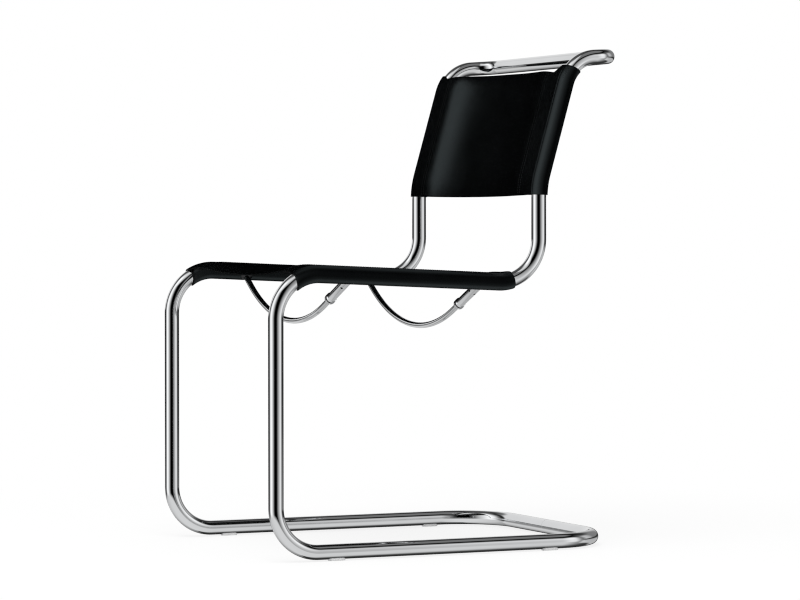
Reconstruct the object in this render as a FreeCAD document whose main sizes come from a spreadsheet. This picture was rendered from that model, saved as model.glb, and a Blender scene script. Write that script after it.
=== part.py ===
import FreeCAD, Part
import math
import os
import Sketcher
from FreeCAD import Placement, Rotation, Vector

# Cantilever dining chair: one continuous bent tube, two leather slings and two spreaders.
# X is the width, the sitter faces -Y and +Z is up. Left and right are the sitter's.
# The origin is on the floor, in the middle of the chair's outline. Sizes are in millimetres.

DIMENSIONS = [
    # the bent tube
    ("tube_diameter", 25.0),
    ("tube_wall", 2.0),
    ("frame_width", 475.0),
    ("front_reach", 311.5),
    ("floor_bar_reach", 303.0),
    ("upright_reach", 165.0),
    ("shoulder_reach", 227.0),
    ("top_bar_reach", 311.5),
    ("seat_front_rise", 470.0),
    ("seat_rear_rise", 447.6),
    ("kink_rise", 612.5),
    ("shoulder_rise", 826.2),
    ("top_bar_rise", 831.5),
    ("floor_corner_radius", 100.0),
    ("foot_bend_radius", 74.0),
    ("knee_bend_radius", 74.0),
    ("hip_bend_radius", 71.5),
    ("kink_radius", 150.0),
    ("shoulder_radius", 62.0),
    ("top_corner_radius", 40.0),
    ("seam_gap", 0.15),
    # what joins the tube's two ends
    ("spigot_length", 84.0),
    ("spigot_wall", 3.0),
    ("spigot_play", 0.05),
    ("screw_spacing", 46.0),
    ("screw_shank_diameter", 5.0),
    ("screw_head_diameter", 9.0),
    ("screw_length", 8.0),
    ("screw_sink", 0.9),
    ("screw_socket_width", 3.0),
    ("screw_socket_depth", 3.4),
    # glides under the runners
    ("glide_lift", 2.0),
    ("glide_length", 30.0),
    ("glide_width", 13.0),
    ("glide_saddle_rise", 4.2),
    ("glide_stem_diameter", 6.0),
    ("glide_stem_rise", 5.5),
    ("glide_edge", 0.7),
    ("front_glide_reach", 205.0),
    ("rear_glide_reach", 185.0),
    # leather slings
    ("leather_thickness", 2.4),
    ("leather_play", 0.1),
    ("seat_sag", 9.0),
    ("back_sag", 8.0),
    ("flap_meeting", 30.0),
    ("flap_reach", 54.0),
    ("edge_hollow", 6.0),
    ("edge_hollow_span", 430.0),
    ("seat_front_wrap", 36.0),
    ("seat_rear_wrap", 18.5),
    ("back_foot_wrap", 1.8),
    ("back_head_wrap", 24.0),
    ("cutout_diameter", 18.6),
    ("cutout_start", 6.0),
    ("cutout_end", 50.0),
    # spreaders under the seat
    ("rod_diameter", 10.0),
    ("rod_bend_radius", 340.0),
    ("rod_drop", 80.5),
    ("sleeve_pitch", 24.0),
    ("front_spreader_reach", 176.5),
    ("rear_spreader_reach", 60.3),
    ("rod_end_depth", 8.6),
    ("rod_in_sleeve", 58.0),
    ("sleeve_diameter", 15.5),
    ("sleeve_shoulder", 14.3),
    ("sleeve_length", 102.0),
    ("sleeve_bore_end", 48.0),
    ("drill_point_slope", 30.0),
    ("collar_diameter", 18.5),
    ("collar_length", 10.5),
    ("collar_bevel", 1.4),
    ("tommy_hole_diameter", 4.5),
    ("tommy_hole_station", 39.0),
    ("running_play", 0.05),
    ("bush_diameter", 13.0),
    ("bush_play", 0.04),
    ("flange_diameter", 17.0),
    ("flange_face", 14.0),
    ("flange_blank_start", 7.5),
    ("tube_hole_start", 4.0),
    ("tube_hole_end", 16.0),
    ("bush_inner_end", 9.2),
]

doc = FreeCAD.newDocument("cantilever_chair")
sheet = doc.addObject("Spreadsheet::Sheet", "dimensions")
for row, (alias, value) in enumerate(DIMENSIONS, start=1):
    sheet.set(f"A{row}", alias)
    sheet.set(f"B{row}", str(value))
    sheet.setAlias(f"B{row}", alias)
doc.recompute()

X_AXIS = Vector(1, 0, 0)
Z_AXIS = Vector(0, 0, 1)
SIDES = {"left": 1, "right": -1}
SLIVER = 0.01
CLEAR_THROUGH = 4

parts = {}


def size(alias):
    """A driving dimension, as the sheet holds it."""
    return float(sheet.get(alias))


def keep(node, thing):
    """Name a finished sub-part after its node."""
    thing.Label = node
    parts[node] = thing
    return thing


def bind(thing, **expressions):
    """Tie properties of an object to cells of the sheet."""
    for name, expression in expressions.items():
        thing.setExpression(name, expression)
    return thing


def turned(base, direction):
    """A placement at base whose own Z axis points along direction."""
    return Placement(base, Rotation(Z_AXIS, direction))


def cylinder(name, radius, height, base, direction):
    """A cylinder of sheet-driven sizes that stands on base, along direction."""
    rod = doc.addObject("Part::Cylinder", name)
    bind(rod, Radius=radius, Height=height)
    rod.Placement = turned(base, direction)
    return rod


def cut(name, base, *tools):
    """The base less one or more tools."""
    if len(tools) > 1:
        tool = doc.addObject("Part::MultiFuse", name + "_tools")
        tool.Shapes = list(tools)
    else:
        tool = tools[0]
    result = doc.addObject("Part::Cut", name)
    result.Base = base
    result.Tool = tool
    return result


def fuse(name, *shapes):
    """Several solids that touch, as one."""
    result = doc.addObject("Part::MultiFuse", name)
    result.Shapes = list(shapes)
    return result


def drawn(name, shape):
    """A wire that other features are swept from or along."""
    line = doc.addObject("Part::Feature", name)
    line.Shape = shape
    return line


def swept(name, section, route):
    """A closed section carried along a route, as a solid."""
    body = doc.addObject("Part::Sweep", name)
    body.Sections = [section]
    body.Spine = (route, [f"Edge{n + 1}" for n in range(len(route.Shape.Edges))])
    body.Solid = True
    body.Frenet = False
    return body


class Bend:
    """The arc that rounds one corner of a route."""

    def __init__(self, before, corner, after, radius):
        arriving = (before - corner).normalize()
        leaving = (after - corner).normalize()
        half_angle = arriving.getAngle(leaving) / 2
        reach = radius / math.tan(half_angle)
        middle = (arriving + leaving).normalize()
        self.radius = radius
        self.centre = corner + middle * (radius / math.sin(half_angle))
        self.entry = corner + arriving * reach
        self.exit = corner + leaving * reach
        self.top = self.centre - middle * radius

    def edge(self):
        return Part.Arc(self.entry, self.top, self.exit).toShape()

    def turned_point(self, start, degrees):
        """A point of this bend, turned about X from one of its ends."""
        spoke = Rotation(X_AXIS, degrees).multVec(start - self.centre)
        return self.centre + spoke


def rounded_route(corners, radii):
    """Straight runs between corners, with an arc at each inner corner."""
    bends = [
        Bend(before, corner, after, radius)
        for before, corner, after, radius in zip(corners, corners[1:], corners[2:], radii)
    ]
    edges = []
    here = corners[0]
    for bend in bends:
        edges.append(Part.LineSegment(here, bend.entry).toShape())
        edges.append(bend.edge())
        here = bend.exit
    edges.append(Part.LineSegment(here, corners[-1]).toShape())
    return Part.Wire(edges)


# Heights and half widths that several sub-parts share

half_width = size("frame_width") / 2
tube_radius = size("tube_diameter") / 2
floor_rise = tube_radius + size("glide_lift")


def side_corners(across):
    """Corners of one side of the tube, from the floor bar to the top bar."""
    return [
        Vector(across, size("floor_bar_reach"), floor_rise),
        Vector(across, -size("front_reach"), floor_rise),
        Vector(across, -size("front_reach"), size("seat_front_rise")),
        Vector(across, size("upright_reach"), size("seat_rear_rise")),
        Vector(across, size("upright_reach"), size("kink_rise")),
        Vector(across, size("shoulder_reach"), size("shoulder_rise")),
        Vector(across, size("top_bar_reach"), size("top_bar_rise")),
    ]


def side_radii():
    return [
        size("floor_corner_radius"),
        size("foot_bend_radius"),
        size("knee_bend_radius"),
        size("hip_bend_radius"),
        size("kink_radius"),
        size("shoulder_radius"),
        size("top_corner_radius"),
    ]


def side_bend(index):
    """A bend of the side's line, drawn in the middle plane of the chair."""
    corners = side_corners(0)
    return Bend(corners[index - 1], corners[index], corners[index + 1], side_radii()[index])


KNEE, HIP, KINK, SHOULDER = 2, 3, 4, 5

knee = side_bend(KNEE)
hip = side_bend(HIP)
kink = side_bend(KINK)
shoulder = side_bend(SHOULDER)

rail_direction = (hip.entry - knee.exit).normalize()


def rail_point(side, reach):
    """The middle of a seat rail, at a distance behind the origin."""
    along = (reach - knee.exit.y) / rail_direction.y
    point = knee.exit + rail_direction * along
    return Vector(SIDES[side] * half_width, point.y, point.z)


# Spreaders: a bent rod and a turning sleeve, in a plane across the chair

sleeve_slope = math.radians(size("sleeve_pitch"))


class Spreader:
    """The lines and stations of one spreader, measured from the rails' middles."""

    def __init__(self, place, reach):
        self.place = place
        self.left = rail_point("left", reach)
        self.right = rail_point("right", reach)
        self.sleeve_axis = Vector(-math.cos(sleeve_slope), 0, -math.sin(sleeve_slope))
        radius = size("rod_bend_radius")
        centre_rise = radius - size("rod_drop")
        # The arc touches the sleeve's line, so its middle is one radius from it.
        inset = (centre_rise * math.cos(sleeve_slope) - radius) / math.sin(sleeve_slope)
        centre_across = half_width + inset
        self.centre = Vector(centre_across, reach, self.left.z + centre_rise)
        self.tangent = self.centre + Vector(math.sin(sleeve_slope), 0, -math.cos(sleeve_slope)) * radius
        spoke = self.centre - self.right
        lift = math.atan2(spoke.z, spoke.x)
        fall = math.asin(radius / spoke.Length) - lift
        self.rod_axis = Vector(math.cos(fall), 0, -math.sin(fall))
        run = math.sqrt(spoke.Length ** 2 - radius ** 2)
        self.rod_tangent = self.right + self.rod_axis * run
        self.lowest = self.centre - Z_AXIS * radius

    def rail(self, side):
        return self.left if side == "left" else self.right

    def axis(self, side):
        return self.sleeve_axis if side == "left" else self.rod_axis

    def on_axis(self, side, station):
        return self.rail(side) + self.axis(side) * station


spreaders = [
    Spreader("front", -size("front_spreader_reach")),
    Spreader("rear", size("rear_spreader_reach")),
]


def spreader_bore(name, radius, first, last, spreader, side):
    """A cylinder on a spreader's axis, between two stations."""
    start = spreader.on_axis(side, first)
    return cylinder(name, radius, str(last - first), start, spreader.axis(side))


def make_frame_tube():
    """One tube, bent fourteen times, whose ends meet in the middle of the floor bar."""
    left = side_corners(half_width)
    right = side_corners(-half_width)
    seam = Vector(size("seam_gap") / 2, size("floor_bar_reach"), floor_rise)
    seam_back = Vector(-seam.x, seam.y, seam.z)
    corners = [seam] + left + right[::-1] + [seam_back]
    radii = side_radii() + side_radii()[::-1]
    route = drawn("frame_route", rounded_route(corners, radii))
    solids = []
    for name, radius in (
        ("frame_outside", "dimensions.tube_diameter / 2"),
        ("frame_inside", "dimensions.tube_diameter / 2 - dimensions.tube_wall"),
    ):
        ring = doc.addObject("Part::Circle", name + "_ring")
        bind(ring, Radius=radius)
        ring.Placement = turned(seam, X_AXIS)
        solids.append(swept(name, ring, route))
    tools = [solids[1]]
    for spreader in spreaders:
        for side in SIDES:
            tools.append(spreader_bore(
                f"{spreader.place}_{side}_tube_hole",
                "dimensions.bush_diameter / 2",
                size("tube_hole_start"),
                size("tube_hole_end"),
                spreader,
                side,
            ))
    for name, place in glide_places().items():
        tools.append(cylinder(
            name + "_hole",
            "dimensions.glide_stem_diameter / 2",
            "dimensions.tube_diameter / 2",
            place,
            Z_AXIS,
        ))
    for side in SIDES:
        tools.append(screw_recess("tube", side))
    keep("frame_tube", cut("frame_tube", solids[0], *tools))


def screw_place(side):
    """The middle of a joint screw's head, sunk into the floor bar's underside."""
    across = SIDES[side] * size("screw_spacing") / 2
    rise = size("glide_lift") + size("screw_sink")
    return Vector(across, size("floor_bar_reach"), rise)


def screw_recess(owner, side):
    """The well, countersink and clearance hole that a joint screw needs."""
    play = " + dimensions.spigot_play"
    head = doc.addObject("Part::Cone", f"{owner}_{side}_countersink")
    bind(
        head,
        Radius1="dimensions.screw_head_diameter / 2" + play,
        Radius2="dimensions.screw_shank_diameter / 2" + play,
        Height="(dimensions.screw_head_diameter - dimensions.screw_shank_diameter) / 2",
    )
    head.Placement = turned(screw_place(side), Z_AXIS)
    well = cylinder(
        f"{owner}_{side}_screw_well",
        "dimensions.screw_head_diameter / 2" + play,
        "dimensions.screw_sink + 1",
        screw_place(side),
        Z_AXIS * -1,
    )
    shank = cylinder(
        f"{owner}_{side}_screw_hole",
        "dimensions.screw_shank_diameter / 2" + play,
        "dimensions.screw_length + 1",
        screw_place(side),
        Z_AXIS,
    )
    return fuse(f"{owner}_{side}_screw_recess", well, head, shank)


def make_joining_spigot():
    """The inner sleeve that lines up and holds the tube's two ends."""
    start = Vector(-size("spigot_length") / 2, size("floor_bar_reach"), floor_rise)
    outer = "dimensions.tube_diameter / 2 - dimensions.tube_wall - dimensions.spigot_play"
    outside = cylinder("spigot_outside", outer, "dimensions.spigot_length", start, X_AXIS)
    inside = cylinder(
        "spigot_inside", outer + " - dimensions.spigot_wall", "dimensions.spigot_length", start, X_AXIS
    )
    recesses = [screw_recess("spigot", side) for side in SIDES]
    keep("joining_spigot", cut("joining_spigot", outside, inside, *recesses))


def origin_plane(body, role):
    return [plane for plane in body.Origin.OriginFeatures if plane.Role == role][0]


def new_body(name):
    return doc.addObject("PartDesign::Body", name)


def new_sketch(body, name, role):
    sketch = body.newObject("Sketcher::SketchObject", name)
    sketch.AttachmentSupport = (origin_plane(body, role), [""])
    sketch.MapMode = "FlatFace"
    return sketch


def draw_outline(sketch, points):
    """A closed outline of straight lines, joined corner to corner."""
    first = sketch.GeometryCount
    count = len(points)
    for here, there in zip(points, points[1:] + points[:1]):
        sketch.addGeometry(Part.LineSegment(Vector(*here, 0), Vector(*there, 0)), False)
    for step in range(count):
        sketch.addConstraint(
            Sketcher.Constraint("Coincident", first + step, 2, first + (step + 1) % count, 1)
        )


def revolved(body, name, points):
    """A body of revolution about its own Z axis, from (radius, height) points."""
    sketch = new_sketch(body, name + "_profile", "XZ_Plane")
    draw_outline(sketch, points)
    turn = body.newObject("PartDesign::Revolution", name)
    turn.Profile = sketch
    turn.ReferenceAxis = (sketch, ["V_Axis"])
    turn.Angle = 360
    doc.recompute()
    return turn


def pocket(body, name, sketch, length):
    """A pocket to both sides of its sketch, which has to take something away."""
    before = body.Shape.Volume
    hollow = body.newObject("PartDesign::Pocket", name)
    hollow.Profile = sketch
    hollow.Length = length
    hollow.Midplane = True
    doc.recompute()
    if hollow.Shape.Volume > before - SLIVER:
        raise RuntimeError(name + " cuts nothing")
    return hollow


def make_joint_screws():
    """Two countersunk screws with hexagon sockets, one through each tube end."""
    screws = []
    head = size("screw_head_diameter") / 2
    shank = size("screw_shank_diameter") / 2
    for side in SIDES:
        body = new_body(f"{side}_joint_screw")
        length = size("screw_length")
        outline = [(0, 0), (head, 0), (shank, head - shank), (shank, length), (0, length)]
        revolved(body, f"{side}_screw_blank", outline)
        sketch = new_sketch(body, f"{side}_screw_socket_outline", "XY_Plane")
        corner = size("screw_socket_width") / math.sqrt(3)
        draw_outline(sketch, [
            (corner * math.cos(math.radians(60 * n)), corner * math.sin(math.radians(60 * n)))
            for n in range(6)
        ])
        pocket(body, f"{side}_screw_socket", sketch, size("screw_socket_depth") * 2)
        body.Placement = turned(screw_place(side), Z_AXIS)
        screws.append(body)
    group = doc.addObject("Part::Compound", "joint_screws")
    group.Links = screws
    keep("joint_screws", group)


def glide_places():
    """The points on the floor under the four glides."""
    reaches = {"front": -size("front_glide_reach"), "rear": size("rear_glide_reach")}
    return {
        f"{place}_{side}_glide": Vector(SIDES[side] * half_width, reach, 0)
        for place, reach in reaches.items()
        for side in SIDES
    }


def make_glides():
    """Nylon glides: an oblong saddle under the runner, with a stem pressed into it."""
    length = size("glide_length")
    width = size("glide_width")
    for name, place in glide_places().items():
        body = new_body(name)
        outline = new_sketch(body, name + "_outline", "XY_Plane")
        end = (length - width) / 2
        round_radius = width / 2
        for sign in (1, -1):
            outline.addGeometry(Part.Arc(
                Vector(sign * round_radius, sign * end, 0),
                Vector(0, sign * (end + round_radius), 0),
                Vector(-sign * round_radius, sign * end, 0),
            ), False)
            outline.addGeometry(Part.LineSegment(
                Vector(-sign * round_radius, sign * end, 0),
                Vector(-sign * round_radius, -sign * end, 0),
            ), False)
        pad = body.newObject("PartDesign::Pad", name + "_pad")
        pad.Profile = outline
        bind(pad, Length="dimensions.glide_saddle_rise")
        doc.recompute()
        chamfer = body.newObject("PartDesign::Chamfer", name + "_edge")
        chamfer.Base = (pad, [
            f"Edge{n + 1}" for n, edge in enumerate(pad.Shape.Edges) if edge.BoundBox.ZMax < SLIVER
        ])
        bind(chamfer, Size="dimensions.glide_edge")
        doc.recompute()
        seat = new_sketch(body, name + "_saddle_outline", "XZ_Plane")
        seat.addGeometry(Part.Circle(
            Vector(0, floor_rise, 0), Z_AXIS, tube_radius + size("spigot_play")
        ), False)
        pocket(body, name + "_saddle", seat, length * CLEAR_THROUGH)
        stem_outline = new_sketch(body, name + "_stem_outline", "XY_Plane")
        stem_outline.addGeometry(Part.Circle(
            Vector(0, 0, 0), Z_AXIS, size("glide_stem_diameter") / 2 - size("spigot_play")
        ), False)
        stem_outline.AttachmentOffset = Placement(Vector(0, 0, size("glide_lift") / 2), Rotation())
        stem = body.newObject("PartDesign::Pad", name + "_stem")
        stem.Profile = stem_outline
        bind(stem, Length="dimensions.glide_stem_rise - dimensions.glide_lift / 2")
        doc.recompute()
        body.Placement = Placement(place, Rotation())
        keep(name, body)


def make_bushes():
    """Flanged bushes in the rails: two carry a sleeve's spigot, two hold a rod's end."""
    for spreader in spreaders:
        for side in SIDES:
            node = f"{spreader.place}_{'sleeve' if side == 'left' else 'rod'}_bush"
            flange = spreader_bore(
                node + "_flange_blank", "dimensions.flange_diameter / 2",
                size("flange_blank_start"), size("flange_face"), spreader, side,
            )
            rail = spreader.rail(side) - rail_direction * tube_radius * 2
            saddle = cylinder(
                node + "_rail",
                "dimensions.tube_diameter / 2 + dimensions.bush_play",
                "dimensions.tube_diameter * 2",
                rail,
                rail_direction,
            )
            flange_seat = cut(node + "_flange", flange, saddle)
            stem = spreader_bore(
                node + "_stem", "dimensions.bush_diameter / 2 - dimensions.bush_play",
                size("bush_inner_end"), size("flange_face"), spreader, side,
            )
            bore = spreader_bore(
                node + "_bore", "dimensions.rod_diameter / 2 + dimensions.running_play",
                0, size("flange_face") + 1, spreader, side,
            )
            keep(node, cut(node, fuse(node + "_blank", flange_seat, stem), bore))


def make_spreader_rods():
    """Bent rods that hang under the seat from rail to rail, each into its sleeve."""
    for spreader in spreaders:
        start = spreader.on_axis("right", size("rod_end_depth"))
        end = spreader.on_axis("left", size("rod_in_sleeve"))
        route = drawn(f"{spreader.place}_rod_route", Part.Wire([
            Part.LineSegment(start, spreader.rod_tangent).toShape(),
            Part.Arc(spreader.rod_tangent, spreader.lowest, spreader.tangent).toShape(),
            Part.LineSegment(spreader.tangent, end).toShape(),
        ]))
        node = f"{spreader.place}_spreader_rod"
        ring = doc.addObject("Part::Circle", node + "_ring")
        bind(ring, Radius="dimensions.rod_diameter / 2")
        ring.Placement = turned(start, spreader.rod_axis)
        keep(node, swept(node, ring, route))


def make_sleeves():
    """Turned sleeves: a spigot in the rail, a bored barrel, a collar and tommy holes."""
    spigot = size("rod_diameter") / 2
    barrel = size("sleeve_diameter") / 2
    collar = size("collar_diameter") / 2
    bore = spigot + size("running_play")
    bevel = size("collar_bevel")
    end = size("sleeve_length")
    collar_start = end - size("collar_length")
    shoulder = size("sleeve_shoulder")
    ease = size("glide_edge")
    step = collar - barrel
    drill_point = math.tan(math.radians(size("drill_point_slope")))
    for spreader in spreaders:
        node = f"{spreader.place}_tension_sleeve"
        body = new_body(node)
        revolved(body, node + "_turning", [
            (0, size("rod_end_depth")),
            (spigot, size("rod_end_depth")),
            (spigot, shoulder),
            (barrel - ease, shoulder),
            (barrel, shoulder + ease),
            (barrel, collar_start - step),
            (collar, collar_start),
            (collar, end - bevel),
            (collar - bevel, end),
            (bore + ease, end),
            (bore, end - ease),
            (bore, size("sleeve_bore_end")),
            (0, size("sleeve_bore_end") - bore * drill_point),
        ])
        for role in ("XZ_Plane", "YZ_Plane"):
            outline = new_sketch(body, f"{node}_{role}_hole", role)
            outline.addGeometry(Part.Circle(
                Vector(0, size("tommy_hole_station"), 0), Z_AXIS, size("tommy_hole_diameter") / 2
            ), False)
            pocket(body, f"{node}_{role}_tommy_hole", outline, collar * CLEAR_THROUGH)
        body.Placement = turned(spreader.left, spreader.sleeve_axis)
        keep(node, body)


class SlingSection:
    """The section of a sling: a sheet, a loop round each tube and a flap sewn under it.

    Its points are (across, out), measured from the tubes' middles, and out is
    the side of the tubes that the sheet lies on.
    """

    def __init__(self, sag):
        self.thickness = size("leather_thickness")
        self.inner = tube_radius + size("leather_play")
        self.outer = self.inner + self.thickness
        lowest = self.outer - sag
        drop = 2 * (self.outer - lowest)
        self.sheet_radius = (half_width ** 2 + lowest ** 2 - self.outer ** 2) / drop
        self.sheet_centre = lowest + self.sheet_radius
        lean = math.atan2(self.sheet_centre, -half_width)
        self.contact = lean
        meeting = half_width - size("flap_meeting")
        self.wedge = (meeting, self.under(meeting, 1))
        across = self.wedge[0] - half_width
        distance = math.hypot(across, self.wedge[1])
        self.leave = math.atan2(self.wedge[1], across) + math.acos(self.inner / distance)

    def under(self, across, layers):
        """How far out the underside of so many layers of leather lies."""
        radius = self.sheet_radius + layers * self.thickness
        return self.sheet_centre - math.sqrt(radius ** 2 - across ** 2)

    def round_tube(self, radius, angle):
        return (half_width + radius * math.cos(angle), radius * math.sin(angle))

    def flap_knee(self):
        """Where the flap's outer face turns to lie along the sheet."""
        start = self.round_tube(self.outer, self.leave)
        inside = self.round_tube(self.inner, self.leave)
        run = math.hypot(self.wedge[0] - inside[0], self.wedge[1] - inside[1])
        way = ((self.wedge[0] - inside[0]) / run, (self.wedge[1] - inside[1]) / run)
        radius = self.sheet_radius + 2 * self.thickness
        offset = (start[0], start[1] - self.sheet_centre)
        along = way[0] * offset[0] + way[1] * offset[1]
        beyond = offset[0] ** 2 + offset[1] ** 2 - radius ** 2
        step = -along - math.sqrt(along ** 2 - beyond)
        return (start[0] + way[0] * step, start[1] + way[1] * step)

    def loop_arcs(self, radius, place, mirror):
        """Two arcs round the outside of a tube, from the sheet to the flap."""
        first = self.contact
        last = self.leave - 2 * math.pi
        angles = [first + (last - first) * part / 4 for part in range(5)]
        points = [place(self.round_tube(radius, angle), mirror) for angle in angles]
        return [
            Part.Arc(points[0], points[1], points[2]).toShape(),
            Part.Arc(points[2], points[3], points[4]).toShape(),
        ]

    def outline(self, place):
        edge = half_width - size("flap_reach")
        knee_point = self.flap_knee()
        middle = (knee_point[0] + edge) / 2
        edges = []
        for mirror in (1, -1):
            edges += self.loop_arcs(self.outer, place, mirror)
            leaving = self.round_tube(self.outer, self.leave)
            edges.append(Part.LineSegment(place(leaving, mirror), place(knee_point, mirror)).toShape())
            edges.append(Part.Arc(
                place(knee_point, mirror),
                place((middle, self.under(middle, 2)), mirror),
                place((edge, self.under(edge, 2)), mirror),
            ).toShape())
            edges.append(Part.LineSegment(
                place((edge, self.under(edge, 2)), mirror), place((edge, self.under(edge, 1)), mirror)
            ).toShape())
        for ends, crown in (
            (self.round_tube(self.outer, self.contact), self.under(0, 0)),
            ((edge, self.under(edge, 1)), self.under(0, 1)),
        ):
            edges.append(Part.Arc(place(ends, 1), place((0, crown), 1), place(ends, -1)).toShape())
        return Part.Wire(Part.__sortEdges__(edges))

    def tunnel(self, place, mirror):
        edges = self.loop_arcs(self.inner, place, mirror)
        leaving = self.round_tube(self.inner, self.leave)
        contact = self.round_tube(self.inner, self.contact)
        middle = (self.wedge[0] + contact[0]) / 2
        edges.append(Part.LineSegment(place(leaving, mirror), place(self.wedge, mirror)).toShape())
        edges.append(Part.Arc(
            place(self.wedge, mirror),
            place((middle, self.under(middle, 1)), mirror),
            place(contact, mirror),
        ).toShape())
        return Part.Wire(Part.__sortEdges__(edges))


def make_sling(node, sag, route_edges, out, cutouts):
    """A leather sling: its section swept along the rails' line, then trimmed."""
    section = SlingSection(sag)
    route = drawn(node + "_route", Part.Wire(route_edges))
    first = route.Shape.Edges[0]
    start = first.valueAt(first.FirstParameter)
    last = route.Shape.Edges[-1]
    finish = last.valueAt(last.LastParameter)

    def place(point, mirror):
        return start + X_AXIS * (point[0] * mirror) + out * point[1]

    whole = swept(node + "_whole", drawn(node + "_outline", section.outline(place)), route)
    tools = []
    for side, mirror in SIDES.items():
        loop = drawn(f"{node}_{side}_tunnel_outline", section.tunnel(place, mirror))
        tools.append(swept(f"{node}_{side}_tunnel", loop, route))
    hollow = size("edge_hollow")
    half_span = size("edge_hollow_span") / 2
    bow = (half_span ** 2 + hollow ** 2) / (2 * hollow)
    ways = (
        (start, first.tangentAt(first.FirstParameter)),
        (finish, last.tangentAt(last.LastParameter) * -1),
    )
    for number, (point, inward) in enumerate(ways, start=1):
        normal = inward.cross(X_AXIS).normalize()
        scoop = doc.addObject("Part::Cylinder", f"{node}_edge_{number}")
        scoop.Radius = bow
        scoop.Height = section.outer * CLEAR_THROUGH
        base = point + inward * (hollow - bow) - normal * section.outer * CLEAR_THROUGH / 2
        scoop.Placement = turned(base, normal)
        tools.append(scoop)
    tools += cutouts
    keep(node, cut(node, whole, *tools))


def make_seat_leather():
    """The seat: its front follows the knees down and its rear the hips up."""
    start = knee.turned_point(knee.exit, size("seat_front_wrap"))
    middle = knee.turned_point(knee.exit, size("seat_front_wrap") / 2)
    finish = hip.turned_point(hip.entry, size("seat_rear_wrap"))
    between = hip.turned_point(hip.entry, size("seat_rear_wrap") / 2)
    edges = [
        Part.Arc(start, middle, knee.exit).toShape(),
        Part.LineSegment(knee.exit, hip.entry).toShape(),
        Part.Arc(hip.entry, between, finish).toShape(),
    ]
    cutouts = [
        spreader_bore(
            f"{spreader.place}_{side}_cutout", "dimensions.cutout_diameter / 2",
            size("cutout_start"), size("cutout_end"), spreader, side,
        )
        for spreader in spreaders
        for side in SIDES
    ]
    make_sling("seat_leather", size("seat_sag"), edges, (start - knee.centre).normalize(), cutouts)


def make_back_leather():
    """The back: it starts just above the kink and ends in the shoulder bend."""
    start = kink.turned_point(kink.entry, -size("back_foot_wrap"))
    foot_angle = math.degrees((kink.entry - kink.centre).getAngle(kink.exit - kink.centre))
    middle = kink.turned_point(kink.entry, -(size("back_foot_wrap") + foot_angle) / 2)
    finish = shoulder.turned_point(shoulder.entry, -size("back_head_wrap"))
    between = shoulder.turned_point(shoulder.entry, -size("back_head_wrap") / 2)
    edges = [
        Part.Arc(start, middle, kink.exit).toShape(),
        Part.LineSegment(kink.exit, shoulder.entry).toShape(),
        Part.Arc(shoulder.entry, between, finish).toShape(),
    ]
    make_sling("back_leather", size("back_sag"), edges, (start - kink.centre).normalize(), [])


make_frame_tube()
make_joining_spigot()
make_joint_screws()
make_glides()
make_bushes()
make_spreader_rods()
make_sleeves()
make_seat_leather()
make_back_leather()
doc.recompute()

for thing in doc.Objects:
    if "Invalid" in thing.State or "Error" in thing.State:
        raise RuntimeError(f"{thing.Name} failed: {thing.State}")

for node, thing in parts.items():
    if thing.Shape.isNull() or not thing.Shape.isValid():
        raise RuntimeError(node + " has no valid shape")

os.makedirs("parts", exist_ok=True)
for node, thing in parts.items():
    thing.Shape.exportStep(f"parts/{node}.step")
    box = thing.Shape.BoundBox
    print(
        f"{node}: {thing.Shape.Volume:.0f} mm3, {len(thing.Shape.Solids)} solids,"
        f" {len(thing.Shape.Faces)} faces, z {box.ZMin:.1f} to {box.ZMax:.1f}"
    )
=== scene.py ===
import math
from collections import namedtuple

import bmesh
import bpy
from mathutils import Matrix, Vector, noise


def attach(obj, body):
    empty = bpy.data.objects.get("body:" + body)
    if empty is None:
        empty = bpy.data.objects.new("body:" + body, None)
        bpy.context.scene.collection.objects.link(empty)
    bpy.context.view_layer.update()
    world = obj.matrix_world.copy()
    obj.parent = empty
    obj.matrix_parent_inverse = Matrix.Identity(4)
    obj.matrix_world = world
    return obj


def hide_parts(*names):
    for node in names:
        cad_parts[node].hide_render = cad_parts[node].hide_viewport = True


# Cantilever chair: a chromed tube frame, two black leather slings and two spreaders.
# Metres. X is the width, the sitter faces -Y, +Z is up, and the floor is at 0.

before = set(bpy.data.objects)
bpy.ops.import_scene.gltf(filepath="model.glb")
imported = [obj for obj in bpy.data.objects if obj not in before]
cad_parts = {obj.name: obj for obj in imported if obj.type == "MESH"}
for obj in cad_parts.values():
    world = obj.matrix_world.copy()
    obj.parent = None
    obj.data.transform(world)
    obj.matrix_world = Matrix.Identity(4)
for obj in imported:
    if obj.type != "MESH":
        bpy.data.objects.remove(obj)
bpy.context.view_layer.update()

MM = 0.001
UP = (0.0, 0.0, 1.0)

# The bent tube, and half of its line in millimetres, from the floor bar to the top bar:
# each corner's reach and rise, and the radius of the bend there
TUBE_RADIUS = 12.5 * MM
TUBE_WALL = 2.0 * MM
HALF_WIDTH = 237.5 * MM
SEAM_GAP = 0.05 * MM
SIDE_BENDS = {
    "heel": (303.0, 14.5, 100.0),
    "foot": (-311.5, 14.5, 74.0),
    "knee": (-311.5, 470.0, 74.0),
    "hip": (165.0, 447.6, 71.5),
    "kink": (165.0, 612.5, 150.0),
    "shoulder": (227.0, 826.2, 62.0),
    "crown": (311.5, 831.5, 40.0),
}
FLOOR_BAR_REACH, FLOOR_BAR_RISE = (size * MM for size in SIDE_BENDS["heel"][:2])

# The spreaders: a bowed rod from the right rail into a sleeve that slopes from the left
# rail. Each has the reach and rise of the rails' middle where it crosses.
SPREADERS = {"front": (-176.5 * MM, 463.654 * MM), "rear": (60.3 * MM, 452.522 * MM)}
SLEEVE_PITCH = math.radians(24.0)
SLEEVE_WAY = Vector((-math.cos(SLEEVE_PITCH), 0.0, -math.sin(SLEEVE_PITCH)))


# ---------------------------------------------------------------- the rails' line


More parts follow.
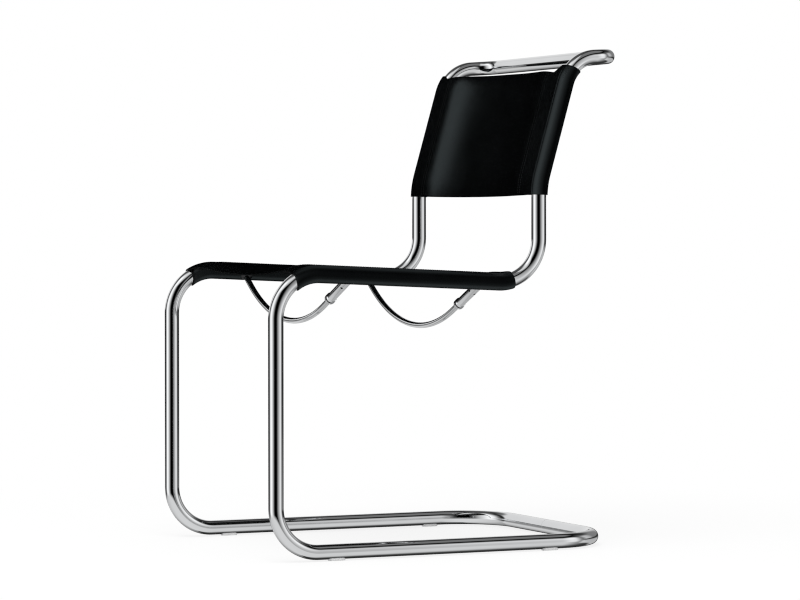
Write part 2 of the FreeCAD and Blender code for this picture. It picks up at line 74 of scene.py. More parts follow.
class BentLine:
    """Straight runs and bends through corners in space, walked by length."""

    def __init__(self, corners, radii):
        self.runs = []
        self.starts = []
        self.length = 0.0
        points = [Vector(corner) for corner in corners]
        entry = points[0]
        for before, corner, after, radius in zip(points, points[1:], points[2:], radii):
            arriving = (corner - before).normalized()
            leaving = (after - corner).normalized()
            turn = arriving.angle(leaving)
            setback = radius * math.tan(turn / 2)
            side = (leaving - arriving * math.cos(turn)).normalized()
            start = corner - arriving * setback
            self.add(entry, arriving, None, 0.0, (start - entry).length)
            self.add(start, arriving, side, turn, radius * turn)
            entry = corner + leaving * setback
        self.add(entry, leaving, None, 0.0, (points[-1] - entry).length)

    def add(self, start, way, side, turn, length):
        """Adds a straight run, or where it has a turn, a bend towards its side."""
        self.starts.append(self.length)
        self.runs.append((start, way, side, turn, length))
        self.length += length

    def at(self, along):
        """The point and the way at that length."""
        index = max(n for n, start in enumerate(self.starts) if start <= along or n == 0)
        start, way, side, turn, length = self.runs[index]
        reach = along - self.starts[index]
        if not turn:
            return start + way * reach, way
        angle = turn * reach / length
        radius = length / turn
        point = start + way * radius * math.sin(angle) + side * radius * (1 - math.cos(angle))
        return point, way * math.cos(angle) + side * math.sin(angle)

    def stations(self, bend_step):
        """Lengths that are close together in the bends and far apart on the runs."""
        places = []
        for start, (_, _, _, turn, length) in zip(self.starts, self.runs):
            count = max(1, math.ceil(turn / bend_step))
            places += [start + length * step / count for step in range(count)]
        return places + [self.length]


def tube_corners():
    """All corners and bend radii, from one side of the floor bar's seam to the other."""
    half = [(HALF_WIDTH, reach * MM, rise * MM) for reach, rise, _ in SIDE_BENDS.values()]
    radii = [radius * MM for _, _, radius in SIDE_BENDS.values()]
    ends = [(side * SEAM_GAP / 2, FLOOR_BAR_REACH, FLOOR_BAR_RISE) for side in (1, -1)]
    other = [(-x, y, z) for x, y, z in reversed(half)]
    return [ends[0]] + half + other + [ends[1]], radii + radii[::-1]


tube_line = BentLine(*tube_corners())


def bend_station(name, degrees):
    """The length along the tube to a place in a bend.

    It is that many degrees past the bend's start, or before its end if negative.
    """
    run = 2 * list(SIDE_BENDS).index(name) + 1
    _, _, _, turn, length = tube_line.runs[run]
    edge = tube_line.starts[run if degrees > 0 else run + 1]
    return edge + length / turn * math.radians(degrees)


def smooth(low, high, value):
    """0 below low, 1 above high, and a soft rise between."""
    part = min(max((value - low) / (high - low), 0.0), 1.0)
    return part * part * (3 - 2 * part)


# ---------------------------------------------------------------- materials


class Nodes:
    """A node tree, with short calls for nodes whose inputs are set or linked at once."""

    def __init__(self, tree):
        self.tree = tree

    def node(self, kind, inputs=None, **settings):
        """A new node. inputs gives its sockets, by name or number, values or outputs."""
        made = self.tree.nodes.new(kind)
        for name, value in settings.items():
            setattr(made, name, value)
        for key, value in (inputs or {}).items():
            self.feed(made.inputs[key], value)
        return made

    def value(self, kind, inputs=None, **settings):
        """The first output of a new node."""
        return self.node(kind, inputs, **settings).outputs[0]

    def feed(self, socket, value):
        """Links an output to a socket, or sets the socket's own value."""
        if isinstance(value, bpy.types.NodeSocket):
            self.tree.links.new(value, socket)
        else:
            socket.default_value = value


class Finish(Nodes):
    """A material built from nodes, with its patterns on Object coordinates."""

    def __init__(self, name):
        self.material = bpy.data.materials.new(name)
        self.material.use_nodes = True
        super().__init__(self.material.node_tree)
        self.shader = self.tree.nodes["Principled BSDF"]
        self.place = self.node("ShaderNodeTexCoord").outputs["Object"]

    def noise(self, scale, detail=3.0, roughness=0.5):
        """Soft noise, with that many features to a metre."""
        return self.value("ShaderNodeTexNoise", {
            "Vector": self.place, "Scale": scale, "Detail": detail, "Roughness": roughness,
        })

    def span(self, value, given, wanted=(0.0, 1.0)):
        """A value's given span, stretched to the wanted one and cut off at its ends."""
        return self.value("ShaderNodeMapRange", {
            "Value": value, "From Min": given[0], "From Max": given[1],
            "To Min": wanted[0], "To Max": wanted[1],
        })

    def ramp(self, value, stops):
        """A level read off a row of (place, level) stops."""
        made = self.node("ShaderNodeValToRGB", {"Fac": value})
        elements = made.color_ramp.elements
        elements.remove(elements[-1])
        for number, (place, level) in enumerate(stops):
            stop = elements[0] if number == 0 else elements.new(place)
            stop.position = place
            stop.color = (level, level, level, 1.0)
        return made.outputs["Color"]

    def combine(self, operation, first, second=0.0):
        """The result of a sum, product or other piece of arithmetic."""
        return self.value("ShaderNodeMath", {0: first, 1: second}, operation=operation)

    def blend(self, share, first, second):
        """A colour between two."""
        mix = {"Factor": share, 6: (*first, 1.0), 7: (*second, 1.0)}
        return self.node("ShaderNodeMix", mix, data_type="RGBA").outputs[2]

    def bump(self, height, strength, depth):
        """A fine relief, at most that deep."""
        return self.value(
            "ShaderNodeBump", {"Height": height, "Strength": strength, "Distance": depth}
        )

    def wear(self, **looks):
        """Sets or links the shader's inputs, and gives the material."""
        for name, value in looks.items():
            self.feed(self.shader.inputs[name.replace("_", " ")], value)
        return self.material

    def show(self, surface):
        """Gives the material another surface than its usual shader."""
        output = next(n for n in self.tree.nodes if n.type == "OUTPUT_MATERIAL")
        self.feed(output.inputs["Surface"], surface)


def toned(colour, share):
    """A darker or lighter colour."""
    return tuple(part * share for part in colour)


def chrome(name, colour, roughness):
    """Plated steel: a bright mirror with faint handling haze and specks of dust."""
    finish = Finish(name)
    haze = finish.noise(scale=9.0, detail=4.0, roughness=0.6)
    dust = finish.noise(scale=420.0, detail=2.0)
    return finish.wear(
        Metallic=1.0,
        Base_Color=finish.blend(finish.span(haze, (0.3, 0.8)), colour, toned(colour, 0.93)),
        Roughness=finish.combine(
            "ADD", finish.span(haze, (0.35, 0.75), roughness),
            finish.span(dust, (0.6, 0.85), (0.0, 0.02)),
        ),
    )


def leather(name, colour, roughness, grain, gloss, flesh=False):
    """Saddle leather: a fine pebble grain with pores, or the flesh side's fibres."""
    finish = Finish(name)
    slow = finish.noise(scale=14.0, detail=4.0, roughness=0.6)
    wander = finish.node("ShaderNodeTexNoise", {"Vector": finish.place, "Scale": 300.0})
    shift = finish.value(
        "ShaderNodeVectorMath", {0: wander.outputs["Color"], "Scale": 1.2 * MM}, operation="SCALE"
    )
    warped = finish.value("ShaderNodeVectorMath", {0: finish.place, 1: shift}, operation="ADD")
    furrows = finish.value(
        "ShaderNodeTexVoronoi", {"Vector": warped, "Scale": 620.0}, feature="DISTANCE_TO_EDGE"
    )
    pebbles = finish.span(furrows, (0.0, 0.22))
    if flesh:
        height = finish.noise(scale=1400.0, detail=5.0, roughness=0.8)
    else:
        pores = finish.combine("MULTIPLY", finish.noise(scale=900.0, detail=2.0), 0.35)
        height = finish.combine("ADD", pebbles, pores)
    dull = finish.combine("MULTIPLY", finish.combine("SUBTRACT", 1.0, pebbles), 0.05)
    return finish.wear(
        Specular_IOR_Level=gloss,
        Base_Color=finish.blend(
            finish.span(slow, (0.3, 0.75)), toned(colour, 0.7), toned(colour, 1.35)
        ),
        Roughness=finish.combine("ADD", finish.span(slow, (0.3, 0.7), roughness), dull),
        Normal=finish.bump(height, grain, 0.2 * MM),
    )


def plastic(name, colour, roughness, gloss):
    """Moulded nylon: slightly cloudy, with a fine moulded texture. The near-black one is painted
    shade in hollows.
    """
    finish = Finish(name)
    cloud = finish.noise(scale=120.0)
    return finish.wear(
        Specular_IOR_Level=gloss,
        Base_Color=finish.blend(finish.span(cloud, (0.3, 0.7)), toned(colour, 0.9), colour),
        Roughness=finish.span(cloud, (0.3, 0.7), roughness),
        Normal=finish.bump(finish.noise(scale=2200.0), 0.15, 0.1 * MM),
    )


def turned_metal(name, colour, axis, roughness):
    """Turned metal: fine rings round an axis, which catch the light as satin."""
    finish = Finish(name)
    along = finish.node("ShaderNodeVectorMath", {0: finish.place, 1: axis}, operation="DOT_PRODUCT")
    rings = finish.value(
        "ShaderNodeTexNoise", {"W": along.outputs["Value"], "Scale": 2600.0, "Detail": 3.0},
        noise_dimensions="1D",
    )
    return finish.wear(
        Metallic=1.0,
        Base_Color=finish.blend(finish.span(rings, (0.3, 0.7)), toned(colour, 0.88), colour),
        Roughness=finish.span(rings, (0.3, 0.7), roughness),
        Normal=finish.bump(rings, 0.04, 0.1 * MM),
    )


# Each has its colour, and its roughness from the smoothest places to the roughest
tube_chrome = chrome("tube_chrome", (0.80, 0.81, 0.82), (0.02, 0.045))
rod_chrome = chrome("rod_chrome", (0.78, 0.79, 0.80), (0.07, 0.13))
sleeve_satin = turned_metal("sleeve_satin", (0.80, 0.81, 0.82), SLEEVE_WAY, (0.12, 0.2))
plain_steel = turned_metal("plain_steel", (0.46, 0.46, 0.47), UP, (0.28, 0.42))
# Painted shade: a near-black put on the sleeves' groove and tommy-hole walls, where only shade
# falls
painted_hollow_shade = plastic("painted_hollow_shade", (0.004, 0.004, 0.004), (0.8, 0.9), gloss=0.05)
glide_nylon = plastic("glide_nylon", (0.9, 0.9, 0.9), (0.45, 0.6), gloss=0.2)
bush_nylon = plastic("bush_nylon", (0.03, 0.03, 0.032), (0.4, 0.55), gloss=0.45)
hide_grain = leather("hide_grain", (0.0017, 0.0019, 0.0021), (0.13, 0.16), grain=0.07, gloss=0.42)
hide_flesh = leather(
    "hide_flesh", (0.009, 0.0088, 0.0085), (0.62, 0.74), grain=0.5, gloss=0.2, flesh=True
)
hide_edge = leather("hide_edge", (0.0028, 0.0028, 0.0028), (0.5, 0.6), grain=0.15, gloss=0.12)
waxed_thread = leather("waxed_thread", (0.003, 0.003, 0.0032), (0.4, 0.5), grain=0.3, gloss=0.3)

# The CAD nodes that stay, by the ends of their names
NODE_FINISHES = {
    "_spigot": plain_steel, "_screws": plain_steel, "_glide": glide_nylon, "_bush": bush_nylon,
}
for node_name, node_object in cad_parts.items():
    for ending, node_finish in NODE_FINISHES.items():
        if node_name.endswith(ending):
            node_object.data.materials.clear()
            node_object.data.materials.append(node_finish)


# ---------------------------------------------------------------- mesh helpers

# Where a turned profile bends by more than this, its edge is crisp
CRISP_TURN = math.radians(28.0)


def linked(name, data):
    """A new object in the scene."""
    made = bpy.data.objects.new(name, data)
    bpy.context.scene.collection.objects.link(made)
    return made


def new_object(name, mesh, materials=()):
    """A new object from a bmesh, which is freed."""
    data = bpy.data.meshes.new(name)
    mesh.to_mesh(data)
    mesh.free()
    for material in materials:
        data.materials.append(material)
    return linked(name, data)


def cutter(place, axis, near, far, near_radius, far_radius, sides=48):
    """A round or tapered tool between two stations on an axis."""
    mesh = bmesh.new()
    way = Vector(axis).normalized()
    middle = Vector(place) + way * (near + far) / 2
    turn = way.to_track_quat("Z", "Y").to_matrix().to_4x4()
    bmesh.ops.create_cone(
        mesh, cap_ends=True, segments=sides, radius1=near_radius, radius2=far_radius,
        depth=far - near, matrix=Matrix.Translation(middle) @ turn,
    )
    return new_object("cutter", mesh)


def carved(source, name, tools=()):
    """A plain mesh piece from a source with its modifiers, less its tools, which all go."""
    for tool in tools:
        hole = source.modifiers.new("hole", "BOOLEAN")
        hole.operation = "DIFFERENCE"
        hole.solver = "EXACT"
        hole.material_mode = "TRANSFER" if tool.data.materials else "INDEX"
        hole.object = tool
    graph = bpy.context.evaluated_depsgraph_get()
    graph.update()
    data = bpy.data.meshes.new_from_object(source.evaluated_get(graph))
    data.name = name
    for used in (source, *tools):
        bpy.data.objects.remove(used, do_unlink=True)
    return linked(name, data)


def mount(piece, body, slot, *nodes):
    """Puts a piece on its body and hides the CAD nodes that it stands for. The slot is not used."""
    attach(piece, body)
    if nodes:
        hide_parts(*nodes)


def ring(mesh, point, way, normal, radius, sides):
    """A ring of vertices round a point, square to its way."""
    other = way.cross(normal)
    return [
        mesh.verts.new(point + (normal * math.cos(turn) + other * math.sin(turn)) * radius)
        for turn in (2 * math.pi * n / sides for n in range(sides))
    ]


def skin(mesh, rings, closed=False):
    """Smooth faces from ring to ring, and flat ends unless the last meets the first."""
    for lower, upper in zip(rings, rings[1:] + rings[:closed]):
        for n in range(len(lower)):
            m = (n + 1) % len(lower)
            mesh.faces.new((lower[n], lower[m], upper[m], upper[n])).smooth = True
    if not closed:
        mesh.faces.new(rings[0][::-1])
        mesh.faces.new(rings[-1])
    bmesh.ops.recalc_face_normals(mesh, faces=mesh.faces[:])


def sharpen(mesh, crease):
    """A crisp edge along a ring."""
    for here, there in zip(crease, crease[1:] + crease[:1]):
        mesh.edges.get((here, there)).smooth = False


def bar_mesh(line, bend_step, sides, outside, ease, inside=0.0):
    """A bent bar with eased ends, or a tube where inside is its bore's radius."""
    mesh = bmesh.new()
    places = []
    normal = line.at(0.0)[1].orthogonal()
    for station in line.stations(bend_step):
        point, way = line.at(station)
        normal = (normal - way * normal.dot(way)).normalized()
        places.append((point, way, normal))
    first, first_way, first_normal = places[0]
    last, last_way, last_normal = places[-1]
    stops = [
        (*places[0], outside - ease),
        (first + first_way * ease, first_way, first_normal, outside),
        *((*place, outside) for place in places[1:-1]),
        (last - last_way * ease, last_way, last_normal, outside),
        (*places[-1], outside - ease),
    ]
    if inside:
        stops += [(*place, inside) for place in reversed(places)]
    rings = [ring(mesh, *stop, sides) for stop in stops]
    skin(mesh, rings, closed=inside > 0)
    for crease in rings[:2] + rings[len(places):len(places) + 2]:
        sharpen(mesh, crease)
    return mesh


def turned_mesh(place, way, profile, sides):
    """A turned piece: rings of (radius, station) in millimetres along an axis."""
    mesh = bmesh.new()
    normal = way.orthogonal().normalized()
    rings = [
        ring(mesh, place + way * station * MM, way, normal, radius * MM, sides)
        for radius, station in profile
    ]
    skin(mesh, rings)
    points = [Vector(point) for point in profile]
    for before, here, after, crease in zip(points, points[1:], points[2:], rings[1:]):
        if (here - before).angle(after - here) > CRISP_TURN:
            sharpen(mesh, crease)
    return mesh


# ---------------------------------------------------------------- the bent tube

TUBE_SIDES = 64
TUBE_BEND_STEP = math.radians(3.0)
TUBE_END_EASE = 0.2 * MM
SCREW_SPACING = 46.0 * MM
SCREW_HEAD_RISE = 2.9 * MM
SCREW_HEAD_RADIUS = 4.55 * MM
SCREW_SHANK_RADIUS = 2.55 * MM
# A countersink's cuts, each from one height above the screw's head to another, with its
# radius at both: the floor side, the taper and the hole
COUNTERSINK = (
    (-2.0 * MM, 0.0, SCREW_HEAD_RADIUS, SCREW_HEAD_RADIUS),
    (-0.001 * MM, SCREW_HEAD_RADIUS - SCREW_SHANK_RADIUS, SCREW_HEAD_RADIUS, SCREW_SHANK_RADIUS),
    (0.0, 5.0 * MM, SCREW_SHANK_RADIUS, SCREW_SHANK_RADIUS),
)


def make_tube():
    """The frame: one bent tube with two countersinks under its floor bar."""
    mesh = bar_mesh(
        tube_line, TUBE_BEND_STEP, TUBE_SIDES, TUBE_RADIUS, TUBE_END_EASE,
        inside=TUBE_RADIUS - TUBE_WALL,
    )
    tools = [
        cutter((side * SCREW_SPACING / 2, FLOOR_BAR_REACH, SCREW_HEAD_RISE), UP, *cut)
        for side in (1, -1) for cut in COUNTERSINK
    ]
    tube = carved(new_object("bent_tube_blank", mesh, [tube_chrome]), "bent_tube", tools)
    mount(tube, "frame", "chromed_tube", "frame_tube")


make_tube()


# ---------------------------------------------------------------- the spreaders

ROD_SIDES = 40
ROD_BEND_STEP = math.radians(1.5)
ROD_RADIUS = 5.0 * MM
ROD_END_EASE = 0.4 * MM
ROD_BEND_RADIUS = 340.0 * MM
# How far the rod's middle hangs below the rails' line
ROD_DROP = 80.5 * MM
# How far the rod's ends are from the right rail's middle and from the left one's
ROD_END_DEPTH = 8.6 * MM
ROD_IN_SLEEVE = 58.0 * MM


def rod_slope():
    """How steeply a rod leaves the right rail, in radians below level."""
    rise = ROD_BEND_RADIUS - ROD_DROP
    inset = (rise * math.cos(SLEEVE_PITCH) - ROD_BEND_RADIUS) / math.sin(SLEEVE_PITCH)
    across = 2 * HALF_WIDTH + inset
    return math.asin(ROD_BEND_RADIUS / math.hypot(across, rise)) - math.atan2(rise, across)


ROD_SLOPE = rod_slope()


def rod_line(reach, rise):
    """A spreader rod's line, from the right rail to the inside of its sleeve."""
    right = Vector((-HALF_WIDTH, reach, rise))
    left = Vector((HALF_WIDTH, reach, rise))
    fall = Vector((math.cos(ROD_SLOPE), 0.0, -math.sin(ROD_SLOPE)))
    run = 2 * HALF_WIDTH * math.sin(SLEEVE_PITCH) / math.sin(SLEEVE_PITCH + ROD_SLOPE)
    start = right + fall * ROD_END_DEPTH
    finish = left + SLEEVE_WAY * ROD_IN_SLEEVE
    return BentLine([start, right + fall * run, finish], [ROD_BEND_RADIUS])


def make_rod(place, reach, rise):
    """A bowed spreader rod."""
    mesh = bar_mesh(rod_line(reach, rise), ROD_BEND_STEP, ROD_SIDES, ROD_RADIUS, ROD_END_EASE)
    rod = new_object(place + "_rod", mesh, [rod_chrome])
    mount(rod, "frame", "chromed_rod", place + "_spreader_rod")


for spreader, crossing in SPREADERS.items():
    make_rod(spreader, *crossing)

SLEEVE_SIDES = 72
COLLAR_RADIUS = 9.25 * MM
TOMMY_HOLE_SIDES = 32
TOMMY_HOLE_STATION = 39.0 * MM
TOMMY_HOLE_RADIUS = 2.25 * MM
# How far each sleeve was turned when it was tightened, from level
SLEEVE_TURNS = {"front": math.radians(53.3), "rear": math.radians(8.0)}
# Radii and stations in millimetres, out from the rail's middle: spigot, barrel, collar
# with its groove, nose, and back inside the bore
SLEEVE_PROFILE = (
    (4.6, 8.6), (5.0, 9.0), (5.0, 14.3), (7.35, 14.3), (7.75, 14.7), (7.75, 89.8), (8.3, 91.0),
    (9.0, 92.2), (9.25, 93.0), (9.25, 93.5), (8.85, 93.6), (8.85, 96.6), (9.25, 96.7),
    (9.25, 101.0), (8.3, 102.0), (5.5, 102.0), (5.05, 101.55), (5.05, 48.0), (0.02, 45.1),
)
# The steps of the profile that make the groove, whose faces get the painted shade
SLEEVE_GROOVE = (9, 10, 11)


def make_sleeve(place, reach, rise):
    """A tension sleeve: barrel, collar, groove and nose, with two tommy holes across."""
    rail = Vector((HALF_WIDTH, reach, rise))
    blank = new_object(
        place + "_sleeve_blank", turned_mesh(rail, SLEEVE_WAY, SLEEVE_PROFILE, SLEEVE_SIDES),
        [sleeve_satin, painted_hollow_shade],
    )
    # The groove's faces take the painted shade
    for face in blank.data.polygons:
        if face.index // SLEEVE_SIDES in SLEEVE_GROOVE:
            face.material_index = 1
    level = Vector((0.0, -1.0, 0.0))
    below = Vector((math.sin(SLEEVE_PITCH), 0.0, -math.cos(SLEEVE_PITCH)))
    tools = []
    for turn in (SLEEVE_TURNS[place], SLEEVE_TURNS[place] + math.pi / 2):
        tool = cutter(
            rail + SLEEVE_WAY * TOMMY_HOLE_STATION, level * math.cos(turn) + below * math.sin(turn),
            -COLLAR_RADIUS, COLLAR_RADIUS, TOMMY_HOLE_RADIUS, TOMMY_HOLE_RADIUS, TOMMY_HOLE_SIDES,
        )
        # The tommy holes' walls take the painted shade
        tool.data.materials.append(painted_hollow_shade)
        tools.append(tool)
    sleeve = carved(blank, place + "_sleeve", tools)
    mount(sleeve, place + "_sleeve", "sleeve_metal", place + "_tension_sleeve")


for spreader, crossing in SPREADERS.items():
    make_sleeve(spreader, *crossing)


# ---------------------------------------------------------------- the slings

LEATHER_THICKNESS = 2.4 * MM
LEATHER_PLAY = 0.1 * MM
# How far in from the tubes' middle each flap comes up to the sheet, and where it ends
FLAP_MEETING = 20.0 * MM
FLAP_REACH = 54.0 * MM
FLAP_GAP = 0.1 * MM
# How soft the flap's bend is there, and how many times the way to it the bend lasts
MEETING_SOFTNESS = 1.2 * MM
MEETING_LIFT = 0.024 * MM
MEETING_SHARE = 1.6
# The sheet falls by its sag in the middle. It is flat beside the tubes, steepest at its
# shoulder, and eases off from there by a power of the way that is left.
SEAT_SAG = 10.0 * MM
BACK_SAG = 10.6 * MM
SHEET_FLAT = 39.0 * MM
SHEET_SHOULDER = 91.0 * MM
FALL_POWER = 1.4
FALL_STEPS = 160
# The free sheet's faint unevenness: its height, its waves to a metre across and along,
# and how far in from the tubes it starts and is at its full height
RIPPLE = 0.5 * MM
RIPPLE_SCALE = (9.0, 11.0)
RIPPLE_INSETS = (10.0 * MM, 90.0 * MM)
# Where a sling's end edge steps from the tube to the free sheet, by how far in it is,
# and where it moves on the tube's far side and on the flap, by its turn
EDGE_STEP = (6.0 * MM, 26.0 * MM)
INNER_TURNS = (0.0, 0.7)
FLAP_TURNS = (0.75, 1.3)
EDGE_EASE = 0.5 * MM
# Columns of points across half a sling, closer together towards the tube
SHEET_COLUMNS = 56
SHEET_CROWDING = 0.4
LOOP_COLUMNS = 40
FLAP_COLUMNS = 18
SEAT_ROWS = 120
BACK_ROWS = 76
# The sling's material slots
GRAIN, FLESH, EDGE = 0, 1, 2
# The holes where the spreaders go in, cut between these distances from the tube's middle
CUT_OUT_RADIUS = 9.3 * MM
CUT_OUT_STATIONS = (6.0 * MM, 30.0 * MM)


class SlingSection:
    """A sling's middle layer across the rails: sheet, loop round the tube and flap.

    A point is (across, out, turn): across from the chair's middle plane, out from the
    rails' line towards the side that the sheet lies on, and a turn that is 0 on the
    sheet, 0 to 1 round the tube and 1 to 2 on the flap.
    """

    def __init__(self, sag):
        self.ring = TUBE_RADIUS + LEATHER_PLAY + LEATHER_THICKNESS / 2
        # First one, and then scaled so that the middle falls by the sag
        self.steepness = 1.0
        self.steepness = sag / self.drop(HALF_WIDTH)
        half = self.half()
        self.points = [(-x, out, turn) for x, out, turn in reversed(half[1:])] + half
        lengths = [0.0]
        for before, after in zip(half, half[1:]):
            lengths.append(lengths[-1] + math.dist(before[:2], after[:2]))
        self.lengths = [-length for length in reversed(lengths[1:])] + lengths
        self.normals = self.outsides()

    def slope(self, inset):
        """How steeply the sheet falls, that far in from the tube's middle."""
        rest = max(1 - inset / HALF_WIDTH, 0.0)
        return self.steepness * smooth(SHEET_FLAT, SHEET_SHOULDER, inset) * rest**FALL_POWER

    def drop(self, inset):
        """How far the sheet has fallen, that far in from the tube's middle."""
        width = inset / FALL_STEPS
        return sum(self.slope((step + 0.5) * width) for step in range(FALL_STEPS)) * width

    def sheet(self, across):
        """How far out the sheet lies."""
        return self.ring - self.drop(HALF_WIDTH - abs(across))

    def under(self, across):
        """How far out the flap lies, under the sheet."""
        lean = self.slope(HALF_WIDTH - abs(across))
        return self.sheet(across) - (LEATHER_THICKNESS + FLAP_GAP) * math.sqrt(1 + lean**2)

    def half(self):
        """Half the section, from the middle to the flap's end."""
        points = []
        for step in range(SHEET_COLUMNS):
            part = step / SHEET_COLUMNS
            across = HALF_WIDTH * ((1 + SHEET_CROWDING) * part - SHEET_CROWDING * part**3)
            points.append((across, self.sheet(across), 0.0))
        meeting = HALF_WIDTH - FLAP_MEETING
        landing = self.under(meeting)
        off_tube = math.acos(self.ring / math.hypot(FLAP_MEETING, landing))
        contact = math.pi / 2
        leave = math.atan2(landing, -FLAP_MEETING) + off_tube - 2 * math.pi
        for step in range(LOOP_COLUMNS + 1):
            part = step / LOOP_COLUMNS
            angle = contact + (leave - contact) * part
            points.append((
                HALF_WIDTH + self.ring * math.cos(angle), self.ring * math.sin(angle), part
            ))
        start, start_out, _ = points[-1]
        for step in range(1, FLAP_COLUMNS + 1):
            across = start + (HALF_WIDTH - FLAP_REACH - start) * step / FLAP_COLUMNS
            share = (across - start) / (meeting - start)
            out = self.under(across)
            if share < MEETING_SHARE:
                out = self.soft_least(start_out + (landing - start_out) * share, out)
            points.append((across, out, 1.0 + step / FLAP_COLUMNS))
        return points

    def soft_least(self, first, second):
        """The lower of two heights, with a soft change from one to the other."""
        return (first + second - math.hypot(first - second, MEETING_SOFTNESS)) / 2 + MEETING_LIFT

    def outsides(self):
        """The grain side's direction at each point of the section."""
        normals = []
        padded = [self.points[0], *self.points, self.points[-1]]
        for before, after in zip(padded, padded[2:]):
            way = Vector((after[0] - before[0], after[1] - before[1])).normalized()
            normals.append((-way.y, way.x))
        return normals


class SlingEnd:
    """Where a sling's end edge lies along the rails.

    The free sheet between the tubes is cut back by a step beside them, with a bow
    in its middle and a skew from side to side. The edge moves by inner on the
    tube's far side, and by flap at the flap's end.
    """

    def __init__(self, station, step, bow=0.0, skew=0.0, inner=0.0, flap=0.0):
        self.station = station
        self.step, self.bow, self.skew = step, bow, skew
        self.inner, self.flap = inner, flap

    def at(self, across, turn):
        """How far along the rails the edge is at a point of the section."""
        if turn == 0.0:
            share = across / HALF_WIDTH
            free = self.step + self.bow * (1 - share**2) + self.skew * share
            return self.station + free * smooth(*EDGE_STEP, HALF_WIDTH - abs(across))
        inner = self.inner * smooth(*INNER_TURNS, turn)
        return self.station + inner + (self.flap - self.inner) * smooth(*FLAP_TURNS, turn)


class Sling:
    """A sling's shape: points of its two faces at any station and place across."""

    def __init__(self, sag, first, last, ripple):
        self.section = SlingSection(sag)
        self.first = first
        self.last = last
        self.ripple = ripple
        self.flat = (2 * self.section.lengths[-1], last.station - first.station)

    def spot(self, column, part, height):
        """A point that far from the middle layer, and how far along the rails it is."""
        across, out, turn = self.section.points[column]
        start = self.first.at(across, turn)
        along = start + (self.last.at(across, turn) - start) * part
        point, way = tube_line.at(along)
        outward = Vector((0.0, -way.z, way.y))
        if turn == 0.0:
            free = smooth(*RIPPLE_INSETS, HALF_WIDTH - abs(across))
            place = (across * RIPPLE_SCALE[0], along * RIPPLE_SCALE[1], self.ripple)
            out += noise.noise(Vector(place)) * free * RIPPLE
        side_part, out_part = self.section.normals[column]
        middle = Vector((across, point.y, point.z)) + outward * out
        return middle + (Vector((side_part, 0.0, 0.0)) + outward * out_part) * height, along

    def mesh(self, steps):
        """Both faces with their rims, and the flat pattern as UVs in metres."""
        mesh = bmesh.new()
        flat = mesh.loops.layers.uv.new("flat")
        patterns = {}
        columns = len(self.section.points)
        half = LEATHER_THICKNESS / 2
        order = [(n, half) for n in range(columns)]
        order += [(n, -half) for n in reversed(range(columns))]
        rows = []
        for step in range(steps + 1):
            row = []
            for column, height in order:
                spot, along = self.spot(column, step / steps, height)
                vertex = mesh.verts.new(spot)
                patterns[vertex] = (self.section.lengths[column], along)
                row.append(vertex)
            rows.append(row)

        def face(corners, slot):
            """A face in that material slot, with its place on the flat pattern."""
            made = mesh.faces.new(corners)
            made.smooth = True
            made.material_index = slot
            for loop in made.loops:
                loop[flat].uv = patterns[loop.vert]

        around = 2 * columns
        slots = [GRAIN] * (columns - 1) + [EDGE] + [FLESH] * (columns - 1) + [EDGE]
        for lower, upper in zip(rows, rows[1:]):
            for n, slot in enumerate(slots):
                m = (n + 1) % around
                face((lower[n], lower[m], upper[m], upper[n]), slot)
        for row in (rows[0], rows[-1]):
            for n in range(columns - 1):
                face((row[n], row[n + 1], row[around - 2 - n], row[around - 1 - n]), EDGE)
        bmesh.ops.recalc_face_normals(mesh, faces=mesh.faces[:])
        weights = mesh.edges.layers.float.new("bevel_weight_edge")
        for edge in mesh.edges:
            meeting = {near.material_index for near in edge.link_faces}
            if EDGE in meeting and len(meeting) > 1:
                edge[weights] = 1.0
        return mesh


def make_sling(place, shape, rows, tools=()):
    """A sling of leather with eased edges."""
    blank = new_object(place + "_blank", shape.mesh(rows), (hide_grain, hide_flesh, hide_edge))
    ease = blank.modifiers.new("ease", "BEVEL")
    ease.width = EDGE_EASE
    ease.segments = 3
    ease.limit_method = "WEIGHT"
    sling = carved(blank, place + "_sling", tools)
    mount(sling, "frame", place + "_hide", place + "_leather")
    return sling


def cut_out_tools():
    """Round cut-outs where sleeves and rods enter the rails."""
    tools = []
    for crossing in SPREADERS.values():
        for side, slope in ((1, SLEEVE_PITCH), (-1, ROD_SLOPE)):
            axis = (-side * math.cos(slope), 0.0, -math.sin(slope))
            rail = (side * HALF_WIDTH, *crossing)
            tools.append(cutter(rail, axis, *CUT_OUT_STATIONS, CUT_OUT_RADIUS, CUT_OUT_RADIUS))
    return tools


seat_shape = Sling(
    SEAT_SAG,
    SlingEnd(bend_station("knee", -33.5), step=6.0 * MM, inner=-8.5 * MM, flap=4.0 * MM),
    SlingEnd(bend_station("hip", 19.5), step=-5.5 * MM, inner=-1.0 * MM, flap=-5.0 * MM),
    ripple=1.7,
)
back_shape = Sling(
    BACK_SAG,
    SlingEnd(
        bend_station("kink", 1.8), step=0.0, bow=-2.3 * MM, skew=-0.5 * MM, flap=-0.5 * MM
    ),
    SlingEnd(
        bend_station("shoulder", 22.5),
        step=-10.3 * MM, bow=9.8 * MM, skew=-3.3 * MM, inner=9.0 * MM, flap=-10.0 * MM,
    ),
    ripple=6.3,
)
seat = make_sling("seat", seat_shape, SEAT_ROWS, cut_out_tools())
back = make_sling("back", back_shape, BACK_ROWS)


# ---------------------------------------------------------------- stitching

STITCH_PITCH = 4.2 * MM
STITCH_LENGTH = 3.4 * MM
THREAD_RADIUS = 0.42 * MM
THREAD_SLANT = math.radians(7.0)
# How deep the thread sits in the leather, as a share of its radius
THREAD_BEDDING = 0.25
# How far the seams are from the flap's end, and how far short of the sling's ends they stop
SEAMS = (12.0 * MM, 4.5 * MM)
END_MARGIN = 5.0 * MM
SEAM_STEPS = 60


